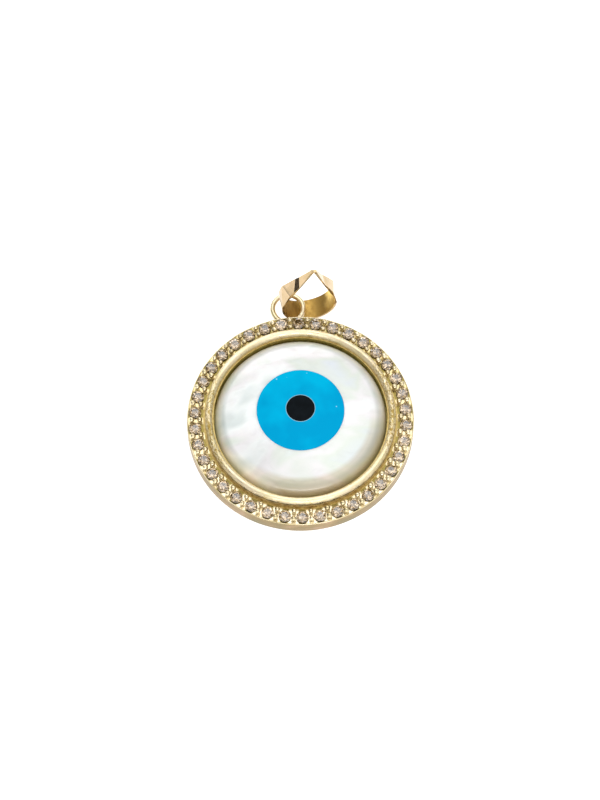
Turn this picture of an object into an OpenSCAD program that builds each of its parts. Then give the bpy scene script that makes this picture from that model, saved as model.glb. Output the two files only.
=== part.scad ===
// Round eye pendant, lying on its flat back.
// Origin at the centre of the back face, +Z out of the eye, +Y towards the hanging ring.
// Millimetres.

/* [Setting] */
// Outer diameter of the round setting
disc_d = 20; // [19:0.5:22]
// Height of the side wall, up to the edge of the rim
wall_h = 1.5; // [1.4:0.05:1.7]
// Thickness of the closed back under the shell
back_t = 0.8; // [0.5:0.05:0.85]
// Width of the thin lip round the stones
lip_w = 0.12; // [0.08:0.01:0.16]
// Depth of the stone channel below the rim edge
channel_depth = 0.04; // [0.02:0.01:0.1]

/* [Bezel] */
// Outer diameter of the raised ring round the shell
bezel_outer_d = 16.76; // [16.7:0.02:16.8]
// Inner diameter of the raised ring below its step
bezel_inner_d = 15.3; // [15.25:0.05:15.4]
// Height of its rounded top above the back
bezel_h = 2.6; // [2.4:0.05:2.8]
// Height of its oval rounding
bezel_crown = 0.45; // [0.3:0.05:0.5]
// Height of the small step inside it, above the back
bezel_step_z = 2; // [1.85:0.05:2.1]
// Width of that step
bezel_step_w = 0.07; // [0.04:0.01:0.1]

/* [Stones] */
// Number of small stones round the rim
stone_count = 38; // [38:1:38]
// Diameter of one stone at its girdle
stone_d = 1.1; // [1:0.05:1.2]
// Diameter of the circle that the stones stand on
stone_circle_d = 18.6; // [18.55:0.05:18.65]
// Height of the girdles above the back
girdle_z = 1.6; // [1.58:0.01:1.7]
// Largest tilt of a stone in its seat, in degrees
stone_tilt = 3; // [0:0.5:4]

/* [Beads] */
// Diameter of the beads that hold the stones
bead_d = 0.5; // [0.42:0.02:0.52]
// Diameter of the circle of inner beads
inner_bead_circle_d = 17.7; // [17.66:0.02:17.74]
// Diameter of the circle of outer beads
outer_bead_circle_d = 19.1; // [19.06:0.02:19.14]
// Height of the bead centres above the back
bead_z = 1.86; // [1.8:0.02:1.9]

/* [Eye] */
// Diameter of the mother-of-pearl shell
shell_d = 15.2; // [15:0.05:15.24]
// Height of the top of the dome above the back
dome_z = 3.95; // [3.8:0.05:4.2]
// Radius of the ball that the dome is part of
dome_r = 16; // [15:0.5:17]
// Diameter of the blue iris
iris_d = 7.66; // [7:0.02:8]
// Diameter of the black pupil
pupil_d = 2.48; // [2.2:0.02:2.8]
// Radius of the shell's rounded edge
shell_edge_r = 1.7; // [1.6:0.05:1.8]

/* [Ring] */
// Outer diameter of the soldered hanging ring
ring_outer_d = 3.2; // [3.1:0.05:3.3]
// Thickness of its wire
ring_wire_d = 0.46; // [0.4:0.02:0.48]
// Distance of its centre from the centre of the disc
ring_y = 11.12; // [11.05:0.01:11.2]
// Height of its centre above the back
ring_z = 0.92; // [0.9:0.01:0.95]

/* [Bail] */
// Radius of the inside of the bail's round end
bail_r = 2.31; // [2.25:0.01:2.35]
// Distance from the centre of the round end to the inside of the peak
bail_peak = 4.55; // [4.4:0.05:4.6]
// Width of the strip at the round end
bail_w = 1.94; // [1.8:0.02:1.96]
// Width of the strip at the peak
bail_tip_w = 0.24; // [0.2:0.02:0.4]
// Thickness of the strip in its smooth round end
bail_t = 0.18; // [0.16:0.01:0.24]

/* [Hidden] */

round_fn = 96;
part_gap = 0.03;
edge_round = 0.12;
arc_steps = 6;
oval_steps = 12;

disc_r = disc_d / 2;
channel_z = wall_h - channel_depth;
lip_r = disc_r - lip_w;
bezel_outer_r = bezel_outer_d / 2;
bezel_inner_r = bezel_inner_d / 2;
bezel_half_w = (bezel_outer_r - bezel_inner_r - bezel_step_w) / 2;

// Stones, in the order of their places counted from just left of the ring
stone_pitch = 360 / stone_count;
stone_circle_r = stone_circle_d / 2;
table_ratio = 0.56;
star_ratio = 0.8;
crown_h = 0.17;
star_h = 0.1;
girdle_t = 0.04;
pavilion_h = 0.46;
pavilion_ratio = 0.42;
pavilion_drop = 0.3;
mains = 8;
turn_step = 17;
tilt_step = 137.5;
seat_clear = 0.07;

post_d = 0.36;
post_sink = 0.1;

iris_floor_z = 2.4;
pupil_floor_z = 2.9;
shell_edge_turn = 60;

ring_r = (ring_outer_d - ring_wire_d) / 2;

// Place and pose of the bail: it stands on its round end, threaded on the ring
bail_at = [1.8, 11.29, 2.57];
bail_lean = 87.5;
bail_roll = 7;
bail_turn = 4.5;
// Slanting lines between the facets cut outside the strip, from the peak to the round end.
// Each has its distance from the lowest point along the strip and the thickness there, first at its
// far end and then at its near end. The ends lie cut_w apart, past the strip's edges.
cut_w = 2;
facet_lines = [
    // far_s, far_t, near_s, near_t
    [8.75, 0.24, 8.75, 0.24],
    [7.05, 0.13, 6.50, 0.11],
    [6.67, 0.19, 5.77, 0.22],
    [4.64, 0.32, 5.47, 0.25]
];
smooth_s = 3.7;
smooth_steps = 24;
hollow_steps = 64;
outline_steps = 20;
notch_h = 0.06;

function stone_name(k) = str("stone_", k < 10 ? "0" : "", k);

// Points on a quarter circle about c from angle a to angle b
function arc(c, r, a, b) = [
    for (i = [0:arc_steps]) let (t = a + (b - a) * i / arc_steps) c + r * [cos(t), sin(t)]
];

// Points over the top half of an oval about c from its outer to its inner side
function half_oval(c, half_w, height) = [
    for (i = [0:oval_steps]) let (t = 180 * i / oval_steps) c + [half_w * cos(t), height * sin(t)]
];

// Half section of the setting: closed back, side wall, channel and bezel
module setting_profile() {
    polygon(concat(
        [[0, 0]],
        arc([disc_r - edge_round, edge_round], edge_round, -90, 0),
        arc([disc_r - lip_w / 2, wall_h - lip_w / 2], lip_w / 2, 0, 90),
        [[lip_r, wall_h], [lip_r, channel_z], [bezel_outer_r, channel_z]],
        half_oval([bezel_outer_r - bezel_half_w, bezel_h - bezel_crown], bezel_half_w, bezel_crown),
        [[bezel_inner_r + bezel_step_w, bezel_step_z], [bezel_inner_r, bezel_step_z]],
        [[bezel_inner_r, back_t], [0, back_t]]
    ));
}

// Places children k = 1 .. stone_count round the rim, shifted by half a place where asked
module round_the_rim(radius, shift) {
    for (k = [1:stone_count]) {
        rotate([0, 0, (k - 1 + shift) * stone_pitch]) translate([0, radius, 0]) children();
    }
}

// Conical pit under one stone
module stone_seat() {
    pit_r = stone_d / 2 + seat_clear;
    translate([0, 0, girdle_z - pavilion_h - seat_clear]) {
        cylinder(h = pavilion_h + seat_clear, r1 = seat_clear, r2 = pit_r, $fn = round_fn);
    }
}

// One bead on its post
module shared_bead() {
    translate([0, 0, channel_z - post_sink]) {
        cylinder(h = bead_z - channel_z + post_sink, d = post_d, $fn = round_fn);
    }
    translate([0, 0, bead_z]) sphere(d = bead_d, $fn = round_fn);
}

// Ring soldered into the side wall
module hanging_ring() {
    translate([0, ring_y, ring_z]) {
        rotate_extrude($fn = round_fn) translate([ring_r, 0]) circle(d = ring_wire_d, $fn = round_fn);
    }
}

module setting() {
    color("#DDBB78") union() {
        difference() {
            rotate_extrude($fn = round_fn) setting_profile();
            round_the_rim(stone_circle_r, 0.5) stone_seat();
        }
        round_the_rim(inner_bead_circle_d / 2, 0) shared_bead();
        round_the_rim(outer_bead_circle_d / 2, 0) shared_bead();
        hanging_ring();
    }
}

// Ball that the shell, the iris and the pupil share their domed top with
module dome_ball() {
    translate([0, 0, dome_z - dome_r]) sphere(r = dome_r, $fn = round_fn);
}

// Round plug of the dome from floor_z up
module domed_plug(diameter, floor_z) {
    intersection() {
        dome_ball();
        translate([0, 0, floor_z]) cylinder(h = dome_z, d = diameter, $fn = round_fn);
    }
}

// Straight-sided hole for a plug, with the gap round it
module plug_hole(diameter, floor_z) {
    translate([0, 0, floor_z]) cylinder(h = dome_z, d = diameter + 2 * part_gap, $fn = round_fn);
}

// Height of the centre of the shell's rounded edge, so that the edge runs on into the dome
function shell_edge_z() =
    let (across = shell_d / 2 - shell_edge_r, along = dome_r - shell_edge_r)
    max(back_t + 2 * part_gap, dome_z - dome_r + sqrt(along * along - across * across));

// Half section of the shell with its rounded edge, closed by a slope that the dome cuts
module shell_profile() {
    shell_z = back_t + part_gap;
    edge_c = [shell_d / 2 - shell_edge_r, shell_edge_z()];
    edge_end = edge_c + shell_edge_r * [cos(shell_edge_turn), sin(shell_edge_turn)];
    polygon(concat(
        [[0, shell_z], [shell_d / 2, shell_z]],
        arc(edge_c, shell_edge_r, 0, shell_edge_turn),
        [[0, edge_end[1] + edge_end[0] / tan(shell_edge_turn)]]
    ));
}

module mother_of_pearl() {
    color("#F1EFE8") difference() {
        intersection() {
            dome_ball();
            rotate_extrude($fn = round_fn) shell_profile();
        }
        plug_hole(iris_d, iris_floor_z);
    }
}

module iris() {
    color("#1FA9DC") difference() {
        domed_plug(iris_d, iris_floor_z + part_gap);
        plug_hole(pupil_d, pupil_floor_z);
    }
}

module pupil() {
    color("#15181D") domed_plug(pupil_d, pupil_floor_z + part_gap);
}

// Ring of n points of radius r at height z, turned by phase
function rim(n, r, z, phase) = [
    for (i = [0:n - 1]) let (a = phase + 360 * i / n) [r * cos(a), r * sin(a), z]
];

// Brilliant with an octagonal table: table, star points, girdle above and below,
// pavilion points and culet, girdle at height 0
module brilliant() {
    r = stone_d / 2;
    half = 180 / mains;
    points = concat(
        rim(mains, r * table_ratio, crown_h, 0),
        rim(mains, r * star_ratio, star_h, half),
        rim(2 * mains, r, girdle_t / 2, 0),
        rim(2 * mains, r, -girdle_t / 2, 0),
        rim(mains, r * pavilion_ratio, -pavilion_drop, half),
        [[0, 0, -pavilion_h]]
    );
    star = mains;
    upper = 2 * mains;
    lower = 4 * mains;
    pavilion = 6 * mains;
    culet = 7 * mains;
    last = 2 * mains;
    table_face = [[for (i = [mains - 1:-1:0]) i]];
    crown_faces = [
        for (i = [0:mains - 1])
        let (next = (i + 1) % mains, g = upper + 2 * i, g_mid = g + 1, g_next = upper + (2 * i + 2) % last)
        each [
            [i, next, star + i],
            [i, star + i, g],
            [star + i, next, g_next],
            [star + i, g_mid, g],
            [star + i, g_next, g_mid]
        ]
    ];
    girdle_faces = [
        for (i = [0:last - 1])
        let (next = (i + 1) % last)
        each [[upper + i, upper + next, lower + i], [lower + i, upper + next, lower + next]]
    ];
    pavilion_faces = [
        for (i = [0:mains - 1])
        let (g = lower + 2 * i, g_mid = g + 1, g_next = lower + (2 * i + 2) % last, p = pavilion + i)
        let (p_next = pavilion + (i + 1) % mains)
        each [
            [g, g_mid, p],
            [g_mid, g_next, p],
            [p, g_next, culet],
            [culet, g_next, p_next]
        ]
    ];
    polyhedron(points, concat(table_face, crown_faces, girdle_faces, pavilion_faces));
}

// Stone k in its seat, a little turned and tilted as a hand-set stone is
module stone(k) {
    color("#D8CDBE") rotate([0, 0, (k - 0.5) * stone_pitch]) translate([0, stone_circle_r, girdle_z]) {
        rotate([stone_tilt * sin(k * tilt_step), stone_tilt * cos(k * tilt_step), k * turn_step]) {
            brilliant();
        }
    }
}

// Inside line of the bail: a round end about the origin and two straight sides to the peak.
// The result is the point that lies s along it from its lowest point, out from it and across it.
function bail_shoulder() = asin(bail_r / bail_peak);
function bail_arc_half() = bail_r * (90 + bail_shoulder()) * PI / 180;
function bail_spot(s, out, across) =
    let (side = s < 0 ? -1 : 1, past = abs(s) - bail_arc_half(), a = bail_shoulder())
    let (t = s / bail_r * 180 / PI, r = bail_r + out)
    past <= 0
        ? [r * sin(t), -r * cos(t), across]
        : [side * (r * cos(a) - past * sin(a)), r * sin(a) + past * cos(a), across];

// Half width of the strip at share q of its height: a lens, widest at the round end
function bail_half_w(q) = max(bail_w - (bail_w - bail_tip_w) * q * q, bail_tip_w) / 2;

// All lines across the outside, from the left of the peak round to its right: facets on the
// straight sides, and a smooth round end between them
function smooth_lines() = [
    for (i = [0:smooth_steps]) let (s = smooth_s * (2 * i / smooth_steps - 1)) [s, bail_t, s, bail_t]
];
function cut_lines() = concat(
    [for (line = facet_lines) [-line[0], line[1], -line[2], line[3]]],
    smooth_lines(),
    [for (i = [len(facet_lines) - 1:-1:0]) facet_lines[i]]
);

// Solid drop with the facets outside and the notch on the peak
module faceted_drop() {
    lines = cut_lines();
    count = len(lines) + 1;
    notch = [0, bail_peak + notch_h, 0];
    far = concat([for (c = lines) bail_spot(c[0], c[1], -cut_w / 2)], [notch - [0, 0, cut_w / 2]]);
    near = concat([for (c = lines) bail_spot(c[2], c[3], cut_w / 2)], [notch + [0, 0, cut_w / 2]]);
    sides = [
        for (i = [0:count - 1])
        let (a = i, b = (i + 1) % count, c = count + b, d = count + i)
        each norm(far[a] - near[b]) < norm(far[b] - near[a]) ? [[a, c, b], [a, d, c]] : [[a, d, b], [b, d, c]]
    ];
    caps = [[for (i = [0:count - 1]) i], [for (i = [count - 1:-1:0]) count + i]];
    polyhedron(concat(far, near), concat(caps, sides));
}

// What the inside of the loop takes away
module bail_hollow() {
    points = [
        for (i = [0:hollow_steps])
        let (p = bail_spot(bail_arc_half() * (2 * i / hollow_steps - 1), 0, 0))
        [p[0], p[1]]
    ];
    linear_extrude(height = 2 * cut_w, center = true) polygon(concat(points, [[0, bail_peak]]));
}

// Outline of the strip seen from the side
module bail_outline() {
    reach = bail_peak + bail_r;
    edge = [
        for (i = [0:outline_steps])
        let (q = 1.2 * i / outline_steps - 0.1)
        [q * reach - bail_r, bail_half_w(q)]
    ];
    back = [for (i = [outline_steps:-1:0]) [edge[i][0], -edge[i][1]]];
    rotate([90, 0, 90]) linear_extrude(height = 2 * reach, center = true) polygon(concat(edge, back));
}

module bail() {
    color("#DDBB78") translate(bail_at) rotate([bail_lean, bail_roll, bail_turn]) {
        intersection() {
            difference() {
                faceted_drop();
                bail_hollow();
            }
            bail_outline();
        }
    }
}

setting();
mother_of_pearl();
iris();
pupil();
bail();
for (k = [1:stone_count]) {
    stone(k);
}
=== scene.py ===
"""Round eye pendant in pale gold with a mother-of-pearl eye, lying on a white table.

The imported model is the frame. Its stones keep their meshes and get a crystal material; the setting, the
eye and the bail are modelled again at the same places with finer surfaces.
"""

import math
import random

import bpy
from mathutils import Euler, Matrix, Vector


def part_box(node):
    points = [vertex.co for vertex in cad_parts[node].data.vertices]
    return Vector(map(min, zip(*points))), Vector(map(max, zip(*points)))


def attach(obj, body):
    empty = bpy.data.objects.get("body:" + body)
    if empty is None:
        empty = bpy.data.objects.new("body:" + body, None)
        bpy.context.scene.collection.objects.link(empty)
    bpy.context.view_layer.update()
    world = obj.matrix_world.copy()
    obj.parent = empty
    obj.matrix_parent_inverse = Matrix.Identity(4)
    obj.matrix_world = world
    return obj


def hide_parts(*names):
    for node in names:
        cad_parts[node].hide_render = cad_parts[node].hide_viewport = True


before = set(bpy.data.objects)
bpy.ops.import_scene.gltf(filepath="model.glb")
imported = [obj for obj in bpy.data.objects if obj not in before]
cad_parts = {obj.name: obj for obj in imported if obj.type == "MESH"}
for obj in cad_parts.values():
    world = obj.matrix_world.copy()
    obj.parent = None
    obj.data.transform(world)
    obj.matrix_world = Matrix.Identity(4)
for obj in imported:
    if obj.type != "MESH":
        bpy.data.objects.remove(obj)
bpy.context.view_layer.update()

bl_info = {
    "name": "Eye Pendant",
    "version": (1, 0, 0),
    "blender": (4, 5, 0),
    "location": "3D View > Sidebar > Pendant",
    "description": "Models the eye pendant round its packed frame and sets up the table, light and camera",
    "category": "Add Mesh",
}

MM = 0.001
BODY = "root"
# Points nearer than this are one point
WELD = 1e-7
UP = Vector((0, 0, 1))

# Slanting lines between the facets outside the bail, from the peak to the round end, in millimetres:
# the distance along the strip from its lowest point and the thickness, at the far end of each line
# and then at the near end. The ends lie this far apart, past the strip's edges.
BAIL_CUT_WIDTH = 2
FACET_LINES = [
    (8.75, 0.24, 8.75, 0.24),
    (7.05, 0.13, 6.50, 0.11),
    (6.67, 0.19, 5.77, 0.22),
    (4.64, 0.32, 5.47, 0.25),
]


def linear(code):
    """The linear colour, with full alpha, of an sRGB hex code."""
    parts = [int(code[i : i + 2], 16) / 255 for i in (1, 3, 5)]
    return (*[p / 12.92 if p <= 0.04045 else ((p + 0.055) / 1.055) ** 2.4 for p in parts], 1.0)


def length(name, description, millimetres):
    return bpy.props.FloatProperty(
        name=name, description=description, default=millimetres * MM, min=0, unit="LENGTH", precision=5
    )


def angle(name, description, degrees):
    return bpy.props.FloatProperty(
        name=name, description=description, default=math.radians(degrees), subtype="ANGLE"
    )


def strength(name, description, value):
    return bpy.props.FloatProperty(name=name, description=description, default=value, min=0)


def colour(name, description, code):
    return bpy.props.FloatVectorProperty(
        name=name, description=description, default=linear(code), size=4, min=0, max=1, subtype="COLOR"
    )


class SettingProperties(bpy.types.PropertyGroup):
    disc_radius: length("Disc radius", "Radius of the round setting", 10)
    wall_height: length("Wall height", "Height of the side wall up to the edge of the rim", 1.5)
    back_thickness: length("Back thickness", "Thickness of the closed back under the shell", 0.8)
    lip_width: length("Lip width", "Width of the thin lip round the stones", 0.12)
    plate_height: length("Plate height", "Height of the plate that holds the stones", 1.46)
    margin_outer: length("Margin outer radius", "Radius at which the plate's plain margin ends", 8.56)
    # The band of the outer wall from this height up to the crown carries painted shadow
    under_crown_shade_edge: length("Joint height", "Height of the lower edge of the joint under the crown", 2.03)
    bezel_outer: length("Bezel outer radius", "Outer radius of the raised ring round the shell", 8.38)
    bezel_inner: length("Bezel inner radius", "Inner radius of the raised ring below its step", 7.65)
    bezel_height: length("Bezel height", "Height of its rounded top above the back", 2.6)
    bezel_crown: length("Bezel crown", "Height of its oval rounding", 0.45)
    step_height: length("Step height", "Height of the small step inside it", 2)
    step_width: length("Step width", "Width of that step", 0.12)
    bead_radius: length("Bead radius", "Radius of the beads that hold the stones", 0.25)
    bead_height: length("Bead height", "Height of the bead centres above the back", 1.86)
    inner_beads: length("Inner beads", "Radius of the circle of inner beads", 8.85)
    outer_beads: length("Outer beads", "Radius of the circle of outer beads", 9.55)
    ring_distance: length("Ring distance", "Distance of the hanging ring from the centre", 11.12)
    ring_radius: length("Ring radius", "Radius of the hanging ring to the middle of its wire", 1.37)
    ring_wire: length("Ring wire", "Radius of its wire", 0.23)
    ring_height: length("Ring height", "Height of its centre above the back", 0.92)
    gold: colour("Gold", "Colour of the polished plating", "#EDDDBC")
    # Painted shade: the side wall's colour is darker than the plating's
    shaded_satin: colour("Satin gold", "Colour of the side wall and the back", "#A48D64")
    # Painted light and shade: the outer wall is a paler gold, the margin a darker olive gold and the inner
    # wall a more olive gold than the crown
    wall: colour("Wall gold", "Colour of the unpolished plating on the bezel's outer wall", "#F8E8BC")
    margin: colour("Margin gold", "Colour of the plating between the bezel and the stones", "#BCAA70")
    bead: colour("Bead gold", "Colour of the burnished plating on the beads", "#E8DAB8")
    web: colour("Web gold", "Colour of the bright-cut plating between the stones", "#E6D8B8")
    # Painted shade: the colour of the hollows beside the stones
    cut: colour("Cut gold", "Colour of the plating in the hollows beside the stones", "#80723E")
    inner: colour("Inner wall gold", "Colour of the dull plating inside the bezel", "#EADB94")
    # Painted shade: the dark colour of the seats and of the band under the crown
    seat: colour("Seat gold", "Colour of the dark plating in the seats and the joint", "#685A2C")


class EyeProperties(bpy.types.PropertyGroup):
    shell_radius: length("Shell radius", "Radius of the mother-of-pearl", 7.6)
    dome_top: length("Dome top", "Height of the top of the dome above the back", 3.95)
    dome_radius: length("Dome radius", "Radius of the ball that the dome is part of", 16)
    edge_radius: length("Edge radius", "Radius of the shell's rounded edge", 1.7)
    iris_radius: length("Iris radius", "Radius of the blue iris", 3.83)
    pupil_radius: length("Pupil radius", "Radius of the black pupil", 1.24)
    iris_floor: length("Iris floor", "Height of the floor that the iris lies on", 2.4)
    pupil_floor: length("Pupil floor", "Height of the floor that the pupil lies on", 2.9)
    gap: length("Gap", "Gap under and beside each inlay", 0.01)
    nacre: colour("Mother-of-pearl", "Main colour of the shell", "#EEF1F0")
    blue: colour("Blue", "Colour of the iris", "#0096C6")
    black: colour("Black", "Colour of the pupil", "#03080C")


class BailProperties(bpy.types.PropertyGroup):
    round_radius: length("Round end", "Radius of the inside of the round end", 2.31)
    peak: length("Peak", "Distance from the centre of the round end to the inside of the peak", 4.55)
    notch: length("Notch", "Distance from the inside of the peak to the bottom of the notch on it", 0.06)
    smooth_reach: length("Smooth reach", "Distance that the smooth round end runs to each side", 3.7)
    smooth_thickness: length("Thickness", "Thickness of the strip in its smooth round end", 0.18)
    width: length("Width", "Width of the strip at the round end", 1.94)
    tip_width: length("Tip width", "Width of the strip at the peak", 0.24)
    place: bpy.props.FloatVectorProperty(
        name="Place",
        description="Centre of the round end",
        default=(1.8 * MM, 11.29 * MM, 2.57 * MM),
        subtype="TRANSLATION",
    )
    pose: bpy.props.FloatVectorProperty(
        name="Pose",
        description="Lean, roll and turn of the bail on the ring",
        default=(math.radians(87.5), math.radians(7), math.radians(4.5)),
        subtype="EULER",
    )
    gold: colour("Bail gold", "Colour of the bail's plating outside", "#D2B894")
    # Painted reflection: the inside's deeper, yellower gold stands in for light bounced round the loop
    painted_inside_reflection: colour("Deep gold", "Colour of the bail's plating inside", "#FFE08A")


class StoneProperties(bpy.types.PropertyGroup):
    # The dark tint is partly painted shade on the stones' facets
    tint: colour("Tint", "Colour of light that has passed through a stone", "#5C4624")


class StudioProperties(bpy.types.PropertyGroup):
    table: colour("Table", "Colour of the table", "#FFFFFF")
    table_glow: strength("Table glow", "Brightness of the table", 0.85)
    room_light: strength("Room light", "Brightness overhead", 2.65)
    camera_distance: length("Camera distance", "Distance from the camera to the pendant", 250)
    lens: bpy.props.FloatProperty(name="Lens", description="Focal length", default=127.125, unit="CAMERA")
    azimuth: angle("Azimuth", "Camera's turn round the pendant", -5.8)
    elevation: angle("Elevation", "Camera's height above the table", 66)


def feed(node, inputs):
    """Sets a node's inputs, or links them to a socket or to the first output in use of another node."""
    for name, value in inputs.items():
        if isinstance(value, bpy.types.Node):
            value = next(output for output in value.outputs if output.enabled)
        if isinstance(value, bpy.types.NodeSocket):
            node.id_data.links.new(value, node.inputs[name])
        else:
            node.inputs[name].default_value = value


def add_node(tree, kind, inputs, stops=(), **settings):
    """Adds a node with its settings, its inputs and a ramp's stops, in hex codes or linear colours."""
    node = tree.nodes.new("ShaderNode" + kind)
    for name, value in settings.items():
        setattr(node, name, value)
    feed(node, inputs)
    if stops:
        ramp = node.color_ramp
        while len(ramp.elements) < len(stops):
            ramp.elements.new(1)
        for element, (place, value) in zip(ramp.elements, stops):
            element.position = place
            element.color = linear(value) if isinstance(value, str) else value
    return node


def grey(value):
    return (value, value, value, 1)


def new_material(name, shader):
    """A material with those values on its Principled shader, its tree, shader and Object coordinates."""
    material = bpy.data.materials.new(name)
    material.use_nodes = True
    tree = material.node_tree
    tree.nodes.clear()
    surface = add_node(tree, "BsdfPrincipled", shader)
    add_node(tree, "OutputMaterial", {"Surface": surface})
    place = add_node(tree, "TexCoord", {}).outputs["Object"]
    return material, tree, surface, place


def polar(tree, place, radial_scale, turn_scale):
    """Coordinates that run outwards from the pendant's axis, round it and up it."""
    parts = add_node(tree, "SeparateXYZ", {"Vector": place}).outputs
    flat = add_node(tree, "CombineXYZ", {"X": parts["X"], "Y": parts["Y"]})
    out = add_node(tree, "VectorMath", {0: flat}, operation="LENGTH")
    turn = add_node(tree, "Math", {0: parts["Y"], 1: parts["X"]}, operation="ARCTAN2")
    across = add_node(tree, "Math", {0: out, 1: radial_scale}, operation="MULTIPLY")
    around = add_node(tree, "Math", {0: turn, 1: turn_scale}, operation="MULTIPLY")
    height = add_node(tree, "Math", {0: parts["Z"], 1: radial_scale}, operation="MULTIPLY")
    return add_node(tree, "CombineXYZ", {"X": across, "Y": around, "Z": height})


def distance_out(tree, place):
    """Distance from the pendant's axis."""
    flat = add_node(tree, "VectorMath", {0: place, 1: (1, 1, 0)}, operation="MULTIPLY")
    return add_node(tree, "VectorMath", {0: flat}, operation="LENGTH")


def marked_shaded_sides(tree, place):
    """How far a point lies into the left and right sides of the pendant, where the crown has file marks and
    painted shade.
    """
    across = add_node(tree, "SeparateXYZ", {"Vector": place}).outputs["X"]
    sideways = add_node(tree, "Math", {0: across}, operation="ABSOLUTE")
    return add_node(tree, "MapRange", {"Value": sideways, "From Min": 6.4 * MM, "From Max": 7.6 * MM})


def file_marks(tree, place, tone, normal):
    """Tone and normal with the crossed file marks at both sides of the pendant, their tone also darkening
    the sides as painted shade.
    """
    # Marks 0.12 mm wide and six times as long, unrolled at the bezel's radius of about 8 mm
    width = 0.12 * MM
    unrolled = polar(tree, place, radial_scale=1 / width, turn_scale=8 * MM / width)
    share = marked_shaded_sides(tree, place)
    for slant in (38, -42):
        turned = add_node(
            tree,
            "Mapping",
            {"Vector": unrolled, "Rotation": (0, 0, math.radians(slant)), "Scale": (1, 6, 1)},
            vector_type="TEXTURE",
        )
        marks = add_node(tree, "TexNoise", {"Vector": turned, "Scale": 1, "Detail": 1})
        # Painted shade: the marks' tone darkens the sides of the crown
        scratch_and_shade = add_node(tree, "ValToRGB", {"Fac": marks}, [(0.4, "#D4C8A0"), (0.5, grey(1))])
        tone = add_node(
            tree, "Mix", {"Factor": share, "A": tone, "B": scratch_and_shade}, data_type="RGBA", blend_type="MULTIPLY"
        )
        depth = add_node(tree, "Math", {0: marks, 1: share}, operation="MULTIPLY")
        normal = add_node(
            tree, "Bump", {"Height": depth, "Strength": 1, "Distance": 0.06 * MM, "Normal": normal}
        )
    return tone, normal


def polished_gold(name, gold, shade, dull, painted_light_drift=0, filed_and_shaded=False):
    """Gold-plated brass, buffed: a bright mirror, a little blurred, with hair-thin marks and dull spots, and
    where asked a drift of painted light across it.
    """
    material, tree, surface, place = new_material(name, {"Metallic": 1, "Roughness": dull})
    # Soft changes of the plating's colour about 2 mm across, and a painted drift from shade to highlight per
    # metre from left to right, counted from a line inside the bail
    cloud = add_node(tree, "TexNoise", {"Vector": place, "Scale": 1 / (2 * MM), "Detail": 3})
    across = add_node(tree, "SeparateXYZ", {"Vector": place}).outputs["X"]
    beyond = add_node(tree, "Math", {0: across, 1: 3.4 * MM}, operation="SUBTRACT")
    painted_drift_fac = add_node(tree, "Math", {0: beyond, 1: painted_light_drift, 2: cloud}, operation="MULTIPLY_ADD")
    tone = add_node(tree, "ValToRGB", {"Fac": painted_drift_fac}, [(0.35, shade), (0.6, gold)])
    # Buffing marks that run round the pendant, about 0.05 mm apart, as coarse as they can show
    around = polar(tree, place, radial_scale=1 / (0.05 * MM), turn_scale=9)
    marks = add_node(tree, "TexNoise", {"Vector": around, "Scale": 1, "Detail": 2})
    normal = add_node(tree, "Bump", {"Height": marks, "Strength": 0.08, "Distance": 0.004 * MM})
    # Dull spots about 0.3 mm across
    spots = add_node(tree, "TexNoise", {"Vector": place, "Scale": 1 / (0.3 * MM), "Detail": 4})
    rough = add_node(
        tree,
        "MapRange",
        {"Value": spots, "From Min": 0.35, "From Max": 0.7, "To Min": dull * 0.75, "To Max": dull * 1.5},
    )
    if filed_and_shaded:
        tone, normal = file_marks(tree, place, tone, normal)
    feed(surface, {"Base Color": tone, "Roughness": rough, "Normal": normal})
    return material


def brush_round(material):
    """Makes a metal spread its reflections across the marks of a brush that ran round the pendant."""
    tree = material.node_tree
    around = add_node(tree, "Tangent", {}, direction_type="RADIAL", axis="Z")
    surface = tree.nodes["Principled BSDF"]
    feed(surface, {"Tangent": around, "Anisotropic": 0.8, "Anisotropic Rotation": 0.25})
    return material


def shaded_satin_gold(gold, shade):
    """Gold-plated brass, brushed along the rim: soft, with fine lines along it and no clear reflections,
    darkened as painted shade and streaked olive and pink as painted reflections.
    """
    material, tree, surface, place = new_material("satin_gold_plate_painted_shade", {"Metallic": 1, "Roughness": 0.4})
    around = polar(tree, place, radial_scale=1 / (0.06 * MM), turn_scale=6)
    lines = add_node(tree, "TexNoise", {"Vector": around, "Scale": 1, "Detail": 3})
    cloud = add_node(tree, "TexNoise", {"Vector": place, "Scale": 1 / (2.5 * MM), "Detail": 2})
    both = add_node(tree, "Mix", {"Factor": 0.5, "A": cloud, "B": lines}, data_type="FLOAT")
    # Painted reflections: olive and pink bands in the tone
    tone = add_node(
        tree, "ValToRGB", {"Fac": both}, [(0.36, "#86805A"), (0.46, shade), (0.56, gold), (0.66, "#BE9C88")]
    )
    normal = add_node(tree, "Bump", {"Height": lines, "Strength": 0.3, "Distance": 0.006 * MM})
    feed(surface, {"Base Color": tone, "Normal": normal})
    return material


def cast_gold(name, gold, shade, dull):
    """Gold-plated brass as it was cast, where a buff can't reach: duller and grainy, in colours that paint
    the light and shade of each place.
    """
    material, tree, surface, place = new_material(name, {"Metallic": 1, "Roughness": dull})
    grain = add_node(tree, "TexNoise", {"Vector": place, "Scale": 1 / (0.25 * MM), "Detail": 4})
    tone = add_node(tree, "ValToRGB", {"Fac": grain}, [(0.35, shade), (0.65, gold)])
    normal = add_node(tree, "Bump", {"Height": grain, "Strength": 0.4, "Distance": 0.02 * MM})
    feed(surface, {"Base Color": tone, "Normal": normal})
    return material


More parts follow.
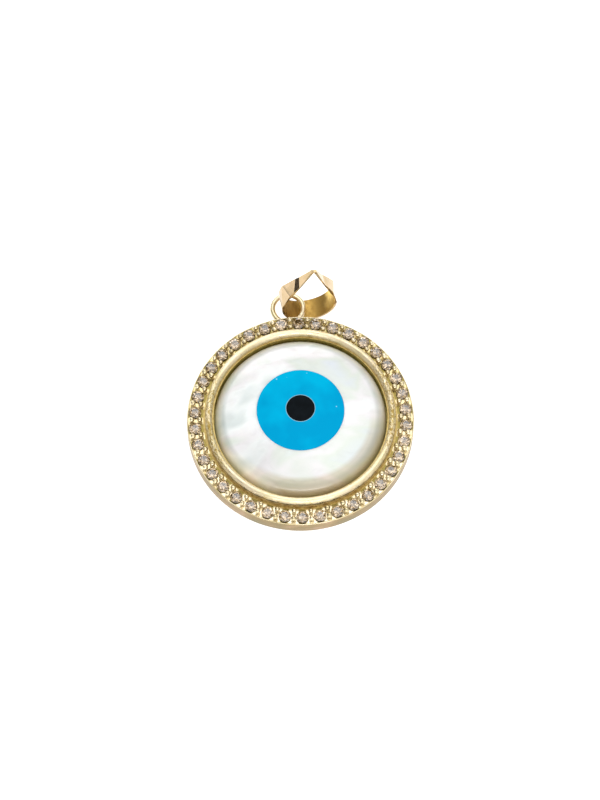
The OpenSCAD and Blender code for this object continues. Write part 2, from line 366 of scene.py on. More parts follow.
def cut_gold(bright, plain, dark, count):
    """Gold-plated brass, cut by hand: webs between the stones, and painted shade in the dull hollows beside
    them.
    """
    material, tree, surface, place = new_material("cut_gold_plate", {"Metallic": 1, "Roughness": 0.24})
    parts = add_node(tree, "SeparateXYZ", {"Vector": place}).outputs
    turn = add_node(tree, "Math", {0: parts["Y"], 1: parts["X"]}, operation="ARCTAN2")
    stone = add_node(tree, "Math", {0: turn, 1: count / math.tau}, operation="MULTIPLY")
    # 0 on the line through a stone and 0.5 halfway between two stones
    beside = add_node(tree, "Math", {0: stone, 1: 0.5}, operation="PINGPONG")
    grain = add_node(tree, "TexNoise", {"Vector": place, "Scale": 1 / (0.2 * MM), "Detail": 3})
    # Painted shade in the hollows beside the stones, with the bright webs between them
    hollow_shade_mask = add_node(tree, "Math", {0: grain, 1: 0.2, 2: beside}, operation="MULTIPLY_ADD")
    # Painted highlight: the webs are made wider and brighter towards the bottom
    wider = add_node(tree, "Math", {0: parts["Y"], 1: -0.009 / MM, 2: hollow_shade_mask}, operation="MULTIPLY_ADD")
    share = add_node(tree, "MapRange", {"Value": wider, "From Min": 0.33, "From Max": 0.44})
    painted_low_mask = add_node(tree, "MapRange", {"Value": parts["Y"], "From Min": 3 * MM, "From Max": -8 * MM})
    web = add_node(tree, "Mix", {"Factor": painted_low_mask, "A": plain, "B": bright}, data_type="RGBA")
    tone = add_node(tree, "Mix", {"Factor": share, "A": dark, "B": web}, data_type="RGBA")
    normal = add_node(tree, "Bump", {"Height": grain, "Strength": 0.3, "Distance": 0.02 * MM})
    feed(surface, {"Base Color": tone, "Normal": normal})
    return material


def painted_edge_shade(tree, place):
    """Painted shade on the mother-of-pearl: it darkens and yellows towards its ground edge, the yellow being
    painted reflection of the gold.
    """
    near_edge = add_node(
        tree, "MapRange", {"Value": distance_out(tree, place), "From Min": 5.9 * MM, "From Max": 7.6 * MM}
    )
    # Painted shade: a grey rim all round, and a yellowish painted shade with painted reflection of the gold
    # at the bottom and higher on the right side
    painted_grey_rim = add_node(
        tree,
        "ValToRGB",
        {"Fac": near_edge},
        [(0.35, grey(1)), (0.53, "#E4E6E4"), (0.65, "#E4E4DE"), (0.85, "#EDE8DA")],
    )
    painted_warm_shade = add_node(
        tree,
        "ValToRGB",
        {"Fac": near_edge},
        [(0.05, grey(1)), (0.28, "#E9DFD1"), (0.6, "#E4D8C2"), (1.0, "#E8D8B8")],
    )
    parts = add_node(tree, "SeparateXYZ", {"Vector": place}).outputs
    painted_gradient = add_node(tree, "Math", {0: parts["X"], 1: -0.35, 2: parts["Y"]}, operation="MULTIPLY_ADD")
    painted_low_mask = add_node(
        tree,
        "MapRange",
        {"Value": painted_gradient, "From Min": -1.5 * MM, "From Max": -6 * MM},
        interpolation_type="SMOOTHSTEP",
    )
    painted_rim_shade = add_node(
        tree, "Mix", {"Factor": painted_low_mask, "A": painted_grey_rim, "B": painted_warm_shade}, data_type="RGBA", blend_type="MULTIPLY"
    )
    # Towards the lower left the painted rim shade is lifted, the shell is greyer round one spot, and its
    # edge is peach
    lower_left = add_node(
        tree, "VectorMath", {0: place, 1: (-0.72 / MM, -0.69 / MM, 0)}, operation="DOT_PRODUCT"
    )
    clear = add_node(tree, "MapRange", {"Value": lower_left, "From Min": 6.3, "From Max": 7.1})
    cleared = add_node(tree, "Mix", {"Factor": clear, "A": painted_rim_shade, "B": grey(1)}, data_type="RGBA")
    beside = add_node(
        tree, "VectorMath", {0: place, 1: (-3.9 * MM, -3.7 * MM, 3 * MM)}, operation="DISTANCE"
    )
    away = add_node(tree, "MapRange", {"Value": beside, "From Min": 0.5 * MM, "From Max": 2.6 * MM})
    patch = add_node(tree, "Mix", {"Factor": away, "A": grey(0.82), "B": grey(1)}, data_type="RGBA")
    peach = add_node(tree, "MapRange", {"Value": lower_left, "From Min": 6.2, "From Max": 7.2})
    warm = add_node(tree, "Mix", {"Factor": peach, "A": patch, "B": linear("#FFF2DC")}, data_type="RGBA")
    return add_node(
        tree, "Mix", {"Factor": 1, "A": cleared, "B": warm}, data_type="RGBA", blend_type="MULTIPLY"
    )


def mother_of_pearl(nacre):
    """Shell, ground and polished: white, with cloudy patches of faint rose, green and grey under a gloss,
    and painted shade at its edge.
    """
    material, tree, surface, place = new_material(
        "polished_mother_of_pearl",
        {
            "Roughness": 0.3,
            "IOR": 1.56,
            "Coat Weight": 0.6,
            "Coat Roughness": 0.06,
            "Coat IOR": 1.5,
            "Subsurface Weight": 0.5,
            "Subsurface Scale": 0.8 * MM,
            "Subsurface Radius": (1, 0.95, 0.85),
        },
    )
    # Growth layers: patches about 5 mm long, pulled out of round
    stretched = add_node(
        tree, "Mapping", {"Vector": place, "Rotation": (0, 0, math.radians(25)), "Scale": (1, 1.7, 1)}
    )
    patch = add_node(
        tree,
        "TexNoise",
        {"Vector": stretched, "Scale": 1 / (5 * MM), "Detail": 2, "Roughness": 0.45, "Distortion": 0.5},
    )
    tints = add_node(
        tree,
        "ValToRGB",
        {"Fac": patch},
        [(0.3, "#D6DEDC"), (0.43, nacre), (0.53, "#E8E6E7"), (0.63, "#DAE0D8"), (0.75, "#D9DFE4")],
    )
    # Silky streaks about 1.6 mm long, with finer ones in them
    streak = add_node(
        tree,
        "TexNoise",
        {"Vector": stretched, "Scale": 1 / (1.6 * MM), "Detail": 3, "Roughness": 0.5, "Distortion": 0.8},
    )
    silk = add_node(
        tree, "ValToRGB", {"Fac": streak}, [(0.32, grey(0.93)), (0.5, grey(1)), (0.7, grey(0.97))]
    )
    tone = tints
    # The last tint is the painted shade and painted reflection at the shell's edge
    for share, tint in ((0.8, silk), (1, painted_edge_shade(tree, place))):
        tone = add_node(
            tree, "Mix", {"Factor": share, "A": tone, "B": tint}, data_type="RGBA", blend_type="MULTIPLY"
        )
    normal = add_node(tree, "Bump", {"Height": streak, "Strength": 0.15, "Distance": 0.02 * MM})
    feed(surface, {"Base Color": tone, "Normal": normal})
    return material


def blue_inlay(blue, pale, rim_at):
    """Reconstituted turquoise, polished: sky blue, a little cloudy, with tiny pale grains, and painted light
    making it paler towards the top.
    """
    material, tree, surface, place = new_material(
        "polished_blue_inlay", {"Roughness": 0.25, "IOR": 1.5, "Specular IOR Level": 0.01}
    )
    cloud = add_node(tree, "TexNoise", {"Vector": place, "Scale": 1 / (2.5 * MM), "Detail": 2})
    # Painted light: the blue turns paler towards the top of the pendant
    upwards = add_node(tree, "SeparateXYZ", {"Vector": place}).outputs["Y"]
    painted_gradient = add_node(tree, "Math", {0: upwards, 1: 0.05 / MM, 2: cloud}, operation="MULTIPLY_ADD")
    body = add_node(tree, "ValToRGB", {"Fac": painted_gradient}, [(0.35, blue), (0.7, pale)])
    # Grains 0.08 mm across, a few on the whole iris
    grains = add_node(tree, "TexVoronoi", {"Vector": place, "Scale": 1 / (1.3 * MM)})
    specks = add_node(tree, "ValToRGB", {"Fac": grains}, [(0.035, grey(1)), (0.06, grey(0))])
    speckled = add_node(
        tree, "Mix", {"Factor": specks, "A": body, "B": linear("#9CCDE0")}, data_type="RGBA"
    )
    # Painted highlight: a pale line round the pupil's edge
    joint = add_node(
        tree,
        "MapRange",
        {
            "Value": distance_out(tree, place),
            "From Min": rim_at + 0.03 * MM,
            "From Max": rim_at + 0.07 * MM,
            "To Min": 0.75,
            "To Max": 0,
        },
    )
    tone = add_node(
        tree, "Mix", {"Factor": joint, "A": speckled, "B": linear("#A5B8B6")}, data_type="RGBA"
    )
    feed(surface, {"Base Color": tone})
    return material


def black_inlay(black):
    """Black onyx, polished: near black with a trace of cloud and a soft gloss."""
    material, tree, surface, place = new_material(
        "polished_black_inlay", {"Roughness": 0.2, "IOR": 1.54, "Specular IOR Level": 0.03}
    )
    cloud = add_node(tree, "TexNoise", {"Vector": place, "Scale": 1 / (0.8 * MM), "Detail": 3})
    tone = add_node(tree, "ValToRGB", {"Fac": cloud}, [(0.35, black), (0.75, "#0A1116")])
    feed(surface, {"Base Color": tone})
    return material


def crystal(tint, pale):
    """Cubic zirconia, cut and polished: clear, strongly refracting, with a warm champagne cast."""
    material, tree, surface, place = new_material(
        "cut_clear_crystal", {"Roughness": 0, "IOR": 2.15, "Transmission Weight": 1}
    )
    # The cast changes over about 0.2 mm, between a dark brown that is partly painted shade on the facets and
    # a pale champagne, so the facets differ within each stone
    cast = add_node(tree, "TexNoise", {"Vector": place, "Scale": 1 / (0.22 * MM), "Detail": 1})
    tone = add_node(tree, "ValToRGB", {"Fac": cast}, [(0.45, tint), (0.55, pale)])
    feed(surface, {"Base Color": tone})
    return material


def point(out, up):
    """A point in the X-Z plane."""
    return Vector((out, 0, up))


def arc(centre, radius, start, end, steps):
    """Points on an arc in the X-Z plane about centre, from one angle to the other, in degrees."""
    turns = [math.radians(start + (end - start) * i / steps) for i in range(steps + 1)]
    return [point(centre[0] + radius * math.cos(t), centre[1] + radius * math.sin(t)) for t in turns]


def half_oval(centre, half_width, height, steps):
    """Points in the X-Z plane over the top half of an oval, from its outer side to its inner side."""
    turns = [math.pi * i / steps for i in range(steps + 1)]
    return [point(centre[0] + half_width * math.cos(t), centre[1] + height * math.sin(t)) for t in turns]


def draw_line(name, points):
    """A new mesh with that line of edges, drawn by extruding one vertex, left in edit mode."""
    bpy.ops.object.select_all(action="DESELECT")
    bpy.ops.mesh.primitive_plane_add(size=MM)
    piece = bpy.context.object
    piece.name = piece.data.name = name
    bpy.ops.object.mode_set(mode="EDIT")
    bpy.ops.mesh.select_mode(type="VERT")
    bpy.ops.mesh.select_all(action="SELECT")
    bpy.ops.mesh.merge(type="CENTER")
    bpy.ops.transform.translate(value=points[0])
    for here, there in zip(points, points[1:]):
        bpy.ops.mesh.extrude_region_move(TRANSFORM_OT_translate={"value": there - here})
    return piece


def close_up():
    """Welds what is selected in edit mode and turns its faces outwards."""
    bpy.ops.mesh.remove_doubles(threshold=WELD)
    bpy.ops.mesh.normals_make_consistent(inside=False)


def turned_piece(name, points, steps, centre=(0, 0, 0)):
    """A solid made by turning a line about the upright through centre, left in edit mode."""
    piece = draw_line(name, points)
    bpy.ops.mesh.select_all(action="SELECT")
    bpy.ops.mesh.spin(steps=steps, angle=math.tau, center=centre, axis=UP)
    bpy.ops.mesh.select_all(action="SELECT")
    close_up()
    return piece


def solid_from_outline(name, points, sweep):
    """A solid made by sweeping the closed outline through those points, left in edit mode."""
    piece = draw_line(name, [*points, points[0]])
    bpy.ops.mesh.select_all(action="SELECT")
    bpy.ops.mesh.remove_doubles(threshold=WELD)
    bpy.ops.mesh.edge_face_add()
    bpy.ops.mesh.extrude_region_move(TRANSFORM_OT_translate={"value": sweep})
    bpy.ops.mesh.select_all(action="SELECT")
    close_up()
    return piece


def select_point(piece, place):
    """Selects, in edit mode, what points of piece lie at that place and nothing else."""
    bpy.ops.mesh.select_all(action="DESELECT")
    bpy.ops.object.mode_set(mode="OBJECT")
    for p in piece.data.vertices:
        p.select = (p.co - place).length < 10 * WELD
    bpy.ops.object.mode_set(mode="EDIT")


def copy_round(count):
    """Copies the edited mesh round the pendant's axis until there are count of it."""
    turn = math.tau * (count - 1) / count
    bpy.ops.mesh.select_all(action="SELECT")
    bpy.ops.mesh.spin(steps=count - 1, dupli=True, angle=turn, center=(0, 0, 0), axis=UP)
    bpy.ops.object.mode_set(mode="OBJECT")


def only(piece):
    """Makes piece the one selected and active object."""
    bpy.ops.object.select_all(action="DESELECT")
    piece.select_set(True)
    bpy.context.view_layer.objects.active = piece


def combine(piece, other, operation):
    """Adds other to piece or cuts it away, and removes other."""
    only(piece)
    step = piece.modifiers.new(operation.lower(), "BOOLEAN")
    step.operation = operation
    step.object = other
    step.solver = "EXACT"
    bpy.ops.object.modifier_apply(modifier=step.name)
    bpy.data.objects.remove(other)


def finish_piece(piece, nodes, angle=30):
    """Smooths a finished piece, and lets it stand for its nodes."""
    only(piece)
    bpy.ops.object.shade_smooth_by_angle(angle=math.radians(angle))
    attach(piece, BODY)
    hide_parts(*nodes)


def stones():
    """Names of the stones' nodes."""
    return sorted(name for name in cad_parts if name.startswith("stone_"))


class PENDANT_OT_setting(bpy.types.Operator):
    """Model the gold setting with its bezel, channel, beads and hanging ring"""

    bl_idname = "pendant.setting"
    bl_label = "Gold Setting"

    def execute(self, context):
        s = context.scene.pendant_setting
        edge = 0.12 * MM
        lip = s.lip_width / 2
        half_width = (s.bezel_outer - s.bezel_inner - s.step_width) / 2
        crown = (s.bezel_outer - half_width, s.bezel_height - s.bezel_crown)
        body = turned_piece(
            "gold_setting",
            [
                point(0, 0),
                *arc((s.disc_radius - edge, edge), edge, -90, 0, 5),
                *arc((s.disc_radius - lip, s.wall_height - lip), lip, 0, 180, 8),
                point(s.disc_radius - s.lip_width, s.plate_height),
                point(s.margin_outer, s.plate_height),
                point(s.bezel_outer, s.plate_height),
                point(s.bezel_outer, s.under_crown_shade_edge),
                *half_oval(crown, half_width, s.bezel_crown, 24),
                point(s.bezel_inner + s.step_width, s.step_height),
                point(s.bezel_inner, s.step_height),
                point(s.bezel_inner, s.back_thickness),
                point(0, s.back_thickness),
            ],
            steps=192,
        )
        bpy.ops.object.mode_set(mode="OBJECT")
        self.cut_seats(body)
        self.add_beads(body, s)
        self.add_ring(body, s)
        self.finish(body, s)
        return {"FINISHED"}

    def cut_seats(self, body):
        """Cuts the conical seats under the stones, from the girdle to just below the point."""
        low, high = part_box("stone_01")
        centre = (low + high) / 2
        girdle = 1.6 * MM
        clear = 0.07 * MM
        depth = 0.46 * MM + clear
        bpy.ops.object.select_all(action="DESELECT")
        bpy.ops.mesh.primitive_cone_add(
            vertices=24,
            radius1=clear,
            radius2=(high.x - low.x) / 2 + clear,
            depth=depth,
            location=(centre.x, centre.y, girdle - depth / 2),
        )
        cutter = bpy.context.object
        bpy.ops.object.transform_apply(location=True)
        bpy.ops.object.mode_set(mode="EDIT")
        copy_round(len(stones()))
        combine(body, cutter, "DIFFERENCE")

    def add_beads(self, body, s):
        """Adds an inner and an outer bead, each on its post, between every two stones."""
        foot = 1.1 * MM
        post = 0.17 * MM
        lean = math.degrees(math.acos(post / s.bead_radius))
        for name, out in (("inner_beads", s.inner_beads), ("outer_beads", s.outer_beads)):
            line = [
                point(0, foot),
                point(post, foot),
                *arc((0, s.bead_height), s.bead_radius, -lean, 90, 8),
            ]
            beads = turned_piece(name, [p + Vector((out, 0, 0)) for p in line], 16, centre=(out, 0, 0))
            bpy.ops.mesh.select_all(action="SELECT")
            bpy.ops.transform.rotate(value=-math.pi / 2, orient_axis="Z", center_override=(0, 0, 0))
            copy_round(len(stones()))
            self.vary(beads)
            combine(body, beads, "UNION")

    def vary(self, beads):
        """Makes each bead a little larger or smaller and a little out of its place, as cut by hand."""
        count = len(stones())
        points = beads.data.vertices
        each = len(points) // count
        # Largest shift along each axis, in millimetres
        spread = 0.035
        chance = random.Random(38)
        for k in range(count):
            bead = points[k * each : (k + 1) * each]
            top = max((p.co for p in bead), key=lambda co: co.z)
            middle = Vector((top.x, top.y, 0))
            size = 1 + chance.uniform(-0.14, 0.1)
            shift = Vector([chance.uniform(-1, 1) for _ in range(3)]) * spread * MM
            for p in bead:
                p.co.xy = (middle + (p.co - middle) * size + shift).xy
                p.co.z += shift.z

    def add_ring(self, body, s):
        """Adds the hanging ring, soldered into the side wall."""
        bpy.ops.object.select_all(action="DESELECT")
        bpy.ops.mesh.primitive_torus_add(
            location=(0, s.ring_distance, s.ring_height),
            major_radius=s.ring_radius,
            minor_radius=s.ring_wire,
            major_segments=72,
            minor_segments=24,
            generate_uvs=False,
        )
        ring = bpy.context.object
        bpy.ops.object.transform_apply(location=True)
        combine(body, ring, "UNION")

    def finish(self, body, s):
        """Gives each part of the surface its finish."""
        finishes = {
            # The crown's sides get file marks and painted shade
            "crown": brush_round(
                polished_gold("polished_gold_plate", s.gold, linear("#E4D6AC"), dull=0.36, filed_and_shaded=True)
            ),
            # The side wall's colours are painted shade and painted reflections
            "side": shaded_satin_gold(s.shaded_satin, linear("#927E58")),
            # The outer wall, the inner wall and the margin have colours that paint light and shade
            "outer wall": cast_gold("cast_gold_plate", s.wall, linear("#D8BC84"), dull=0.5),
            "inner wall": cast_gold("dull_gold_plate", s.inner, linear("#CDBC70"), dull=0.4),
            # Painted shade in the seats and under the crown
            "seat": cast_gold("dark_seat_gold", s.seat, linear("#463416"), dull=0.34),
            # The plate's hollows are painted shade and its webs painted highlight low down
            "plate": cut_gold(s.web, linear("#CFBE90"), s.cut, len(stones())),
            "margin": cast_gold("cast_gold_margin", s.margin, linear("#A48A52"), dull=0.4),
            "bead": polished_gold("burnished_gold_beads", s.bead, linear("#C4B48A"), dull=0.2),
        }
        body.data.materials.clear()
        for finish in finishes.values():
            body.data.materials.append(finish)
        parts = list(finishes)
        for face in body.data.polygons:
            face.material_index = parts.index(self.part_of(face, s))
        finish_piece(body, ["setting"])

    def part_of(self, face, s):
        """The part of the setting's surface that a face belongs to, by its place."""
        small = 0.01 * MM
        base = 0.2 * MM
        out = math.hypot(face.center.x, face.center.y)
        up = face.center.z
        on_wall = s.bezel_outer - small < out < s.bezel_outer + small
        on_step = s.bezel_inner + small < out < s.bezel_inner + s.step_width - small
        in_rim = s.bezel_outer + small < out < s.disc_radius
        upright = abs(face.normal.z) < 0.3
        at_side = upright and s.disc_radius - 2 * small < out < s.disc_radius + small
        if at_side or (up < base and out < s.disc_radius):
            return "side"
        if on_wall and up < s.under_crown_shade_edge:
            return "outer wall"
        if out < s.bezel_inner + small and up < s.step_height:
            return "inner wall"
        # Painted shadow: the band under the crown is as dark as the seats
        if on_wall and up < s.bezel_height - s.bezel_crown:
            return "seat"
        if on_step and up < s.step_height + small:
            return "margin"
        # Painted shade in the seats under the stones
        if in_rim and s.back_thickness < up < s.plate_height - 2 * small:
            return "seat"
        if in_rim and out < s.margin_outer and up < s.plate_height + small:
            return "margin"
        if in_rim and (up > s.wall_height + small or out > s.disc_radius - s.lip_width):
            return "bead"
        if in_rim and up > s.plate_height - 2 * small:
            return "plate"
        return "crown"


class PENDANT_OT_eye(bpy.types.Operator):
    """Model the mother-of-pearl shell, the blue iris and the black pupil as one dome"""

    bl_idname = "pendant.eye"
    bl_label = "Eye"

    def execute(self, context):
        e = context.scene.pendant_eye
        # The shell lies this far above the setting's back
        under = 0.03 * MM
        low = context.scene.pendant_setting.back_thickness + under
        # The rounding of its edge runs into the dome without a corner
        between = e.dome_radius - e.edge_radius
        across = e.shell_radius - e.edge_radius
        edge = (across, e.dome_top - e.dome_radius + math.sqrt(between**2 - across**2))
        edge_turn = 90 - math.degrees(math.asin(across / between))
        edge_end = e.dome_radius * across / between
        hole = e.iris_radius + e.gap
        shell = turned_piece(
            "pearl_shell",
            [
                point(0, low),
                point(e.shell_radius, low),
                *arc(edge, e.edge_radius, 0, edge_turn, 20),
                *self.dome_line(e, edge_end, hole, 26)[1:],
                point(hole, e.iris_floor),
                point(0, e.iris_floor),
            ],
            steps=160,
        )
        bpy.ops.object.mode_set(mode="OBJECT")
        shell.data.materials.append(mother_of_pearl(e.nacre))
        finish_piece(shell, ["mother_of_pearl"])
        iris = turned_piece(
            "blue_iris",
            [
                point(0, e.iris_floor + e.gap),
                point(e.iris_radius, e.iris_floor + e.gap),
                *self.dome_line(e, e.iris_radius, e.pupil_radius + e.gap, 14),
                point(e.pupil_radius + e.gap, e.pupil_floor),
                point(0, e.pupil_floor),
            ],
            steps=128,
        )
        bpy.ops.object.mode_set(mode="OBJECT")
        # The paler blue is the painted light at the top of the iris
        iris.data.materials.append(blue_inlay(e.blue, linear("#00ABD6"), e.pupil_radius))
        finish_piece(iris, ["iris"])
        pupil = turned_piece(
            "black_pupil",
            [
                point(0, e.pupil_floor + e.gap),
                point(e.pupil_radius, e.pupil_floor + e.gap),
                *self.dome_line(e, e.pupil_radius, 0, 6),
            ],
            steps=64,
        )
        bpy.ops.object.mode_set(mode="OBJECT")
        pupil.data.materials.append(black_inlay(e.black))
        finish_piece(pupil, ["pupil"])
        return {"FINISHED"}

    def dome_height(self, e, out):
        """Height of the dome at that distance from its axis."""
        return e.dome_top - e.dome_radius + math.sqrt(e.dome_radius**2 - out**2)

    def dome_line(self, e, start, end, steps):
        """Points on the dome from one distance to the other."""
        spots = [start + (end - start) * i / steps for i in range(steps + 1)]
        return [point(out, self.dome_height(e, out)) for out in spots]


class PENDANT_OT_bail(bpy.types.Operator):
    """Model the bail, a strip bent to a drop-shaped loop, plain inside and cut in facets outside"""

    bl_idname = "pendant.bail"
    bl_label = "Bail"

    def execute(self, context):
        b = context.scene.pendant_bail
        bail = self.cut_outside(b)
        combine(bail, self.hollow(b), "DIFFERENCE")
        combine(bail, self.outline(b), "INTERSECT")
        bail.data.materials.clear()
        outside = polished_gold("polished_bail_gold", b.gold, linear("#BAA278"), dull=0.12)
        # Painted reflection and shade: the inside is a deeper gold than the outside, darker brown on the
        # left and bright yellow on the right
        inside = polished_gold("bail_gold_painted_reflection", b.painted_inside_reflection, linear("#AE8C4A"), dull=0.42, painted_light_drift=0.3 / MM)
        bail.data.materials.append(outside)
        bail.data.materials.append(inside)
        # The inside is what looks towards the middle of the loop
        for face in bail.data.polygons:
            if face.normal.xy.dot(face.center.xy) < -b.round_radius / 2:
                face.material_index = 1
        bail.location = b.place
        bail.rotation_euler = Euler(b.pose)
        only(bail)
        bpy.ops.object.transform_apply(location=True, rotation=True)
        finish_piece(bail, ["bail"], angle=4)
        return {"FINISHED"}

    def bend_length(self, b):
        """Length of the inside from its lowest point to where the round end turns straight."""
        return b.round_radius * (math.pi / 2 + math.asin(b.round_radius / b.peak))

    def spot(self, b, along, out, across):
        """The point that lies so far along the inside from its lowest point, out from it and across."""
        past = abs(along) - self.bend_length(b)
        if past <= 0:
            turn = along / b.round_radius
            return Vector((math.sin(turn), -math.cos(turn), 0)) * (b.round_radius + out) + UP * across
        shoulder = math.asin(b.round_radius / b.peak)
        side = math.copysign(1, along)
        away = Vector((side * math.cos(shoulder), math.sin(shoulder), 0))
        ahead = Vector((-side * math.sin(shoulder), math.cos(shoulder), 0))
        return away * (b.round_radius + out) + ahead * past + UP * across

    def cut_outside(self, b):
        """A solid drop, smooth at its round end, with flat facets between slanting lines above it."""
        across = BAIL_CUT_WIDTH / 2 * MM
        lines = [[value * MM for value in line] for line in FACET_LINES]
        left = [(-far, far_out, -near, near_out) for far, far_out, near, near_out in lines]
        steps = 72
        bends = [b.smooth_reach * (2 * i / steps - 1) for i in range(steps + 1)]
        smooth = [(along, b.smooth_thickness, along, b.smooth_thickness) for along in bends]
        around = left + smooth + lines[::-1]
        notch = Vector((0, b.peak + b.notch, 0))
        far = [self.spot(b, line[0], line[1], -across) for line in around] + [notch - UP * across]
        near = [self.spot(b, line[2], line[3], across) for line in around] + [notch + UP * across]
        piece = solid_from_outline("gold_bail", far, UP * 2 * across)
        for start, end in zip(far, near):
            select_point(piece, start + UP * 2 * across)
            bpy.ops.transform.translate(value=end - start - UP * 2 * across)
        bpy.ops.mesh.select_all(action="SELECT")
        bpy.ops.mesh.quads_convert_to_tris(quad_method="SHORTEST_DIAGONAL")
        close_up()
        bpy.ops.object.mode_set(mode="OBJECT")
        return piece

    def hollow(self, b):
        """What the inside of the loop takes away."""
        bend = self.bend_length(b)
        low = -BAIL_CUT_WIDTH * MM
        steps = 96
        points = [self.spot(b, bend * (2 * i / steps - 1), 0, low) for i in range(steps + 1)]
        points.append(Vector((0, b.peak, low)))
        piece = solid_from_outline("bail_hollow", points, UP * -2 * low)
        bpy.ops.object.mode_set(mode="OBJECT")
        return piece

    def outline(self, b):
        """The strip's outline from the side: a lens, widest at the round end and cut off at the peak."""
        steps = 20
        reach = b.peak + b.round_radius
        # The lens runs a tenth of the bail's length past both ends
        low, high = -0.1, 1.1
        edge = []
        for i in range(steps + 1):
            share = low + (high - low) * i / steps
            half = max(b.width - (b.width - b.tip_width) * share**2, b.tip_width) / 2
            edge.append(Vector((-reach, share * reach - b.round_radius, half)))
        mirrored = [Vector((p.x, p.y, -p.z)) for p in reversed(edge)]
        piece = solid_from_outline("bail_outline", edge + mirrored, Vector((2 * reach, 0, 0)))
        bpy.ops.object.mode_set(mode="OBJECT")
        return piece


class PENDANT_OT_stones(bpy.types.Operator):
    """Give the small stones their clear crystal"""

    bl_idname = "pendant.stones"
    bl_label = "Stones"

    def execute(self, context):
        clear = crystal(context.scene.pendant_stones.tint, linear("#F2DABA"))
        for name in stones():
            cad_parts[name].material_slots[0].material = clear
        return {"FINISHED"}


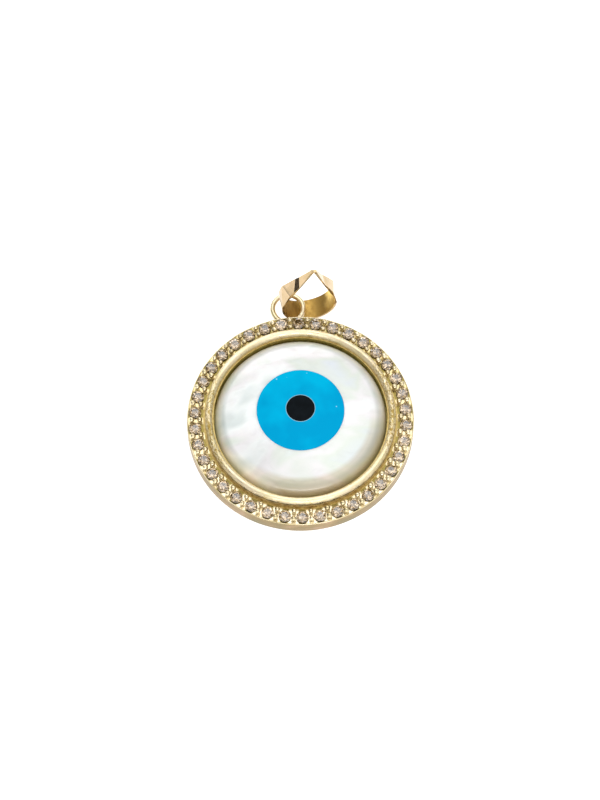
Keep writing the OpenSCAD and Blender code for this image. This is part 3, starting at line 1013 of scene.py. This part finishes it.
class PENDANT_OT_studio(bpy.types.Operator):
    """Set up the white table, the soft lights and the camera"""

    bl_idname = "pendant.studio"
    bl_label = "Table, Light and Camera"

    def execute(self, context):
        s = context.scene.pendant_studio
        self.add_table(s)
        self.add_surroundings(context.scene, s)
        self.add_softbox("far_softbox", turn=15, height=22, size=(0.7, 0.09), radiance=3)
        self.add_softbox("near_softbox", turn=176, height=24, size=(0.5, 0.12), radiance=4)
        self.add_camera(context.scene, s)
        context.scene.view_settings.view_transform = "Standard"
        return {"FINISHED"}

    def add_table(self, s):
        """A white table that glows a little, as white ground does in a bright photograph."""
        below = 0.02 * MM
        bpy.ops.object.select_all(action="DESELECT")
        bpy.ops.mesh.primitive_plane_add(size=3, location=(0, 0, -below))
        table = bpy.context.object
        table.name = "table"
        material, tree, surface, place = new_material(
            "white_lacquer",
            {"Base Color": linear("#C8C8C8"), "Roughness": 0.6, "Emission Color": s.table},
        )
        # The light falls off beyond the middle of the table
        out = add_node(tree, "VectorMath", {0: place}, operation="LENGTH")
        glow = add_node(
            tree,
            "MapRange",
            {
                "Value": out,
                "From Min": 0.03,
                "From Max": 0.25,
                "To Min": s.table_glow,
                "To Max": s.table_glow * 0.4,
            },
            interpolation_type="SMOOTHSTEP",
        )
        feed(surface, {"Emission Strength": glow})
        table.data.materials.append(material)

    def add_surroundings(self, scene, s):
        """A white tent: bright overhead, darker low down and at both sides, with a hole for the camera."""
        world = bpy.data.worlds.new("white_tent")
        world.use_nodes = True
        tree = world.node_tree
        tree.nodes.clear()
        place = add_node(tree, "TexCoord", {}).outputs["Generated"]
        # The middle of the roof leans a little towards the camera
        roof = [(0, 0.2), (0.25, 0.45), (0.6, 0.85), (0.85, 1)]
        tone = self.tent_tone(tree, place, (0, -0.3, 0.954), roof)
        right = self.tent_tone(tree, place, (1, 0, 0), [(0.2, 1), (0.7, 1), (0.95, 0.65)])
        left = self.tent_tone(tree, place, (-1, 0, 0), [(0.1, 1), (0.6, 0.55), (0.95, 0.3)])
        opening = self.tent_tone(tree, place, self.camera_side(s), [(0.94, 1), (0.975, 0.25)])
        panel = self.tent_tone(tree, place, (0, 0.407, 0.914), [(0.8, 0.53), (0.95, 0.92)])
        for part in (right, left, opening, panel):
            tone = add_node(
                tree, "Mix", {"Factor": 1, "A": tone, "B": part}, data_type="RGBA", blend_type="MULTIPLY"
            )
        light = add_node(tree, "Background", {"Color": tone, "Strength": s.room_light})
        add_node(tree, "OutputWorld", {"Surface": light})
        scene.world = world

    def tent_tone(self, tree, place, towards, stops):
        """The tent's brightness by how nearly a direction points that way."""
        nearness = add_node(tree, "VectorMath", {0: place, 1: towards}, operation="DOT_PRODUCT")
        return add_node(tree, "ValToRGB", {"Fac": nearness}, [(near, grey(value)) for near, value in stops])

    def camera_side(self, s):
        """Direction from the pendant to the camera."""
        a, h = s.azimuth, s.elevation
        return Vector((math.sin(a) * math.cos(h), -math.cos(a) * math.cos(h), math.sin(h)))

    def add_softbox(self, name, turn, height, size, radiance):
        """A rectangular soft light. Turn 0 is beyond the pendant and 90 on its left."""
        distance = 0.5
        t, h = math.radians(turn), math.radians(height)
        away = Vector((-math.sin(t) * math.cos(h), math.cos(t) * math.cos(h), math.sin(h)))
        bpy.ops.object.light_add(
            type="AREA", location=away * distance, rotation=away.to_track_quat("Z", "Y").to_euler()
        )
        light = bpy.context.object
        light.name = light.data.name = name
        light.data.shape = "RECTANGLE"
        light.data.size, light.data.size_y = size
        light.data.energy = radiance * math.pi * size[0] * size[1]

    def add_camera(self, scene, s):
        """The camera looks down on the pendant from the photograph's side."""
        back = self.camera_side(s)
        right = Vector((math.cos(s.azimuth), math.sin(s.azimuth), 0))
        above = back.cross(right)
        # The middle of the picture, from the origin
        aside, up = -0.044 * MM, 2.292 * MM
        aim = right * aside + above * up
        bpy.ops.object.camera_add(
            location=aim + back * s.camera_distance, rotation=back.to_track_quat("Z", "Y").to_euler()
        )
        camera = bpy.context.object
        camera.data.lens = s.lens
        camera.data.sensor_width = 36
        camera.data.clip_start = 0.01
        camera.data.clip_end = 10
        scene.camera = camera


class PENDANT_PT_panel(bpy.types.Panel):
    """Sizes, colours and steps of the pendant"""

    bl_idname = "PENDANT_PT_panel"
    bl_label = "Eye Pendant"
    bl_space_type = "VIEW_3D"
    bl_region_type = "UI"
    bl_category = "Pendant"

    def draw(self, context):
        for operator, group in STEPS:
            box = self.layout.box()
            box.operator(operator.bl_idname)
            values = getattr(context.scene, group)
            for name in values.bl_rna.properties.keys():
                if name not in ("rna_type", "name"):
                    box.prop(values, name)


GROUPS = {
    "pendant_setting": SettingProperties,
    "pendant_eye": EyeProperties,
    "pendant_bail": BailProperties,
    "pendant_stones": StoneProperties,
    "pendant_studio": StudioProperties,
}
STEPS = [
    (PENDANT_OT_setting, "pendant_setting"),
    (PENDANT_OT_eye, "pendant_eye"),
    (PENDANT_OT_bail, "pendant_bail"),
    (PENDANT_OT_stones, "pendant_stones"),
    (PENDANT_OT_studio, "pendant_studio"),
]


def register():
    for name, group in GROUPS.items():
        bpy.utils.register_class(group)
        setattr(bpy.types.Scene, name, bpy.props.PointerProperty(type=group))
    for operator, _ in STEPS:
        bpy.utils.register_class(operator)
    bpy.utils.register_class(PENDANT_PT_panel)


def unregister():
    bpy.utils.unregister_class(PENDANT_PT_panel)
    for operator, _ in reversed(STEPS):
        bpy.utils.unregister_class(operator)
    for name, group in reversed(GROUPS.items()):
        delattr(bpy.types.Scene, name)
        bpy.utils.unregister_class(group)


def main():
    register()
    bpy.ops.pendant.setting()
    bpy.ops.pendant.eye()
    bpy.ops.pendant.bail()
    bpy.ops.pendant.stones()
    bpy.ops.pendant.studio()


if __name__ == "__main__":
    main()
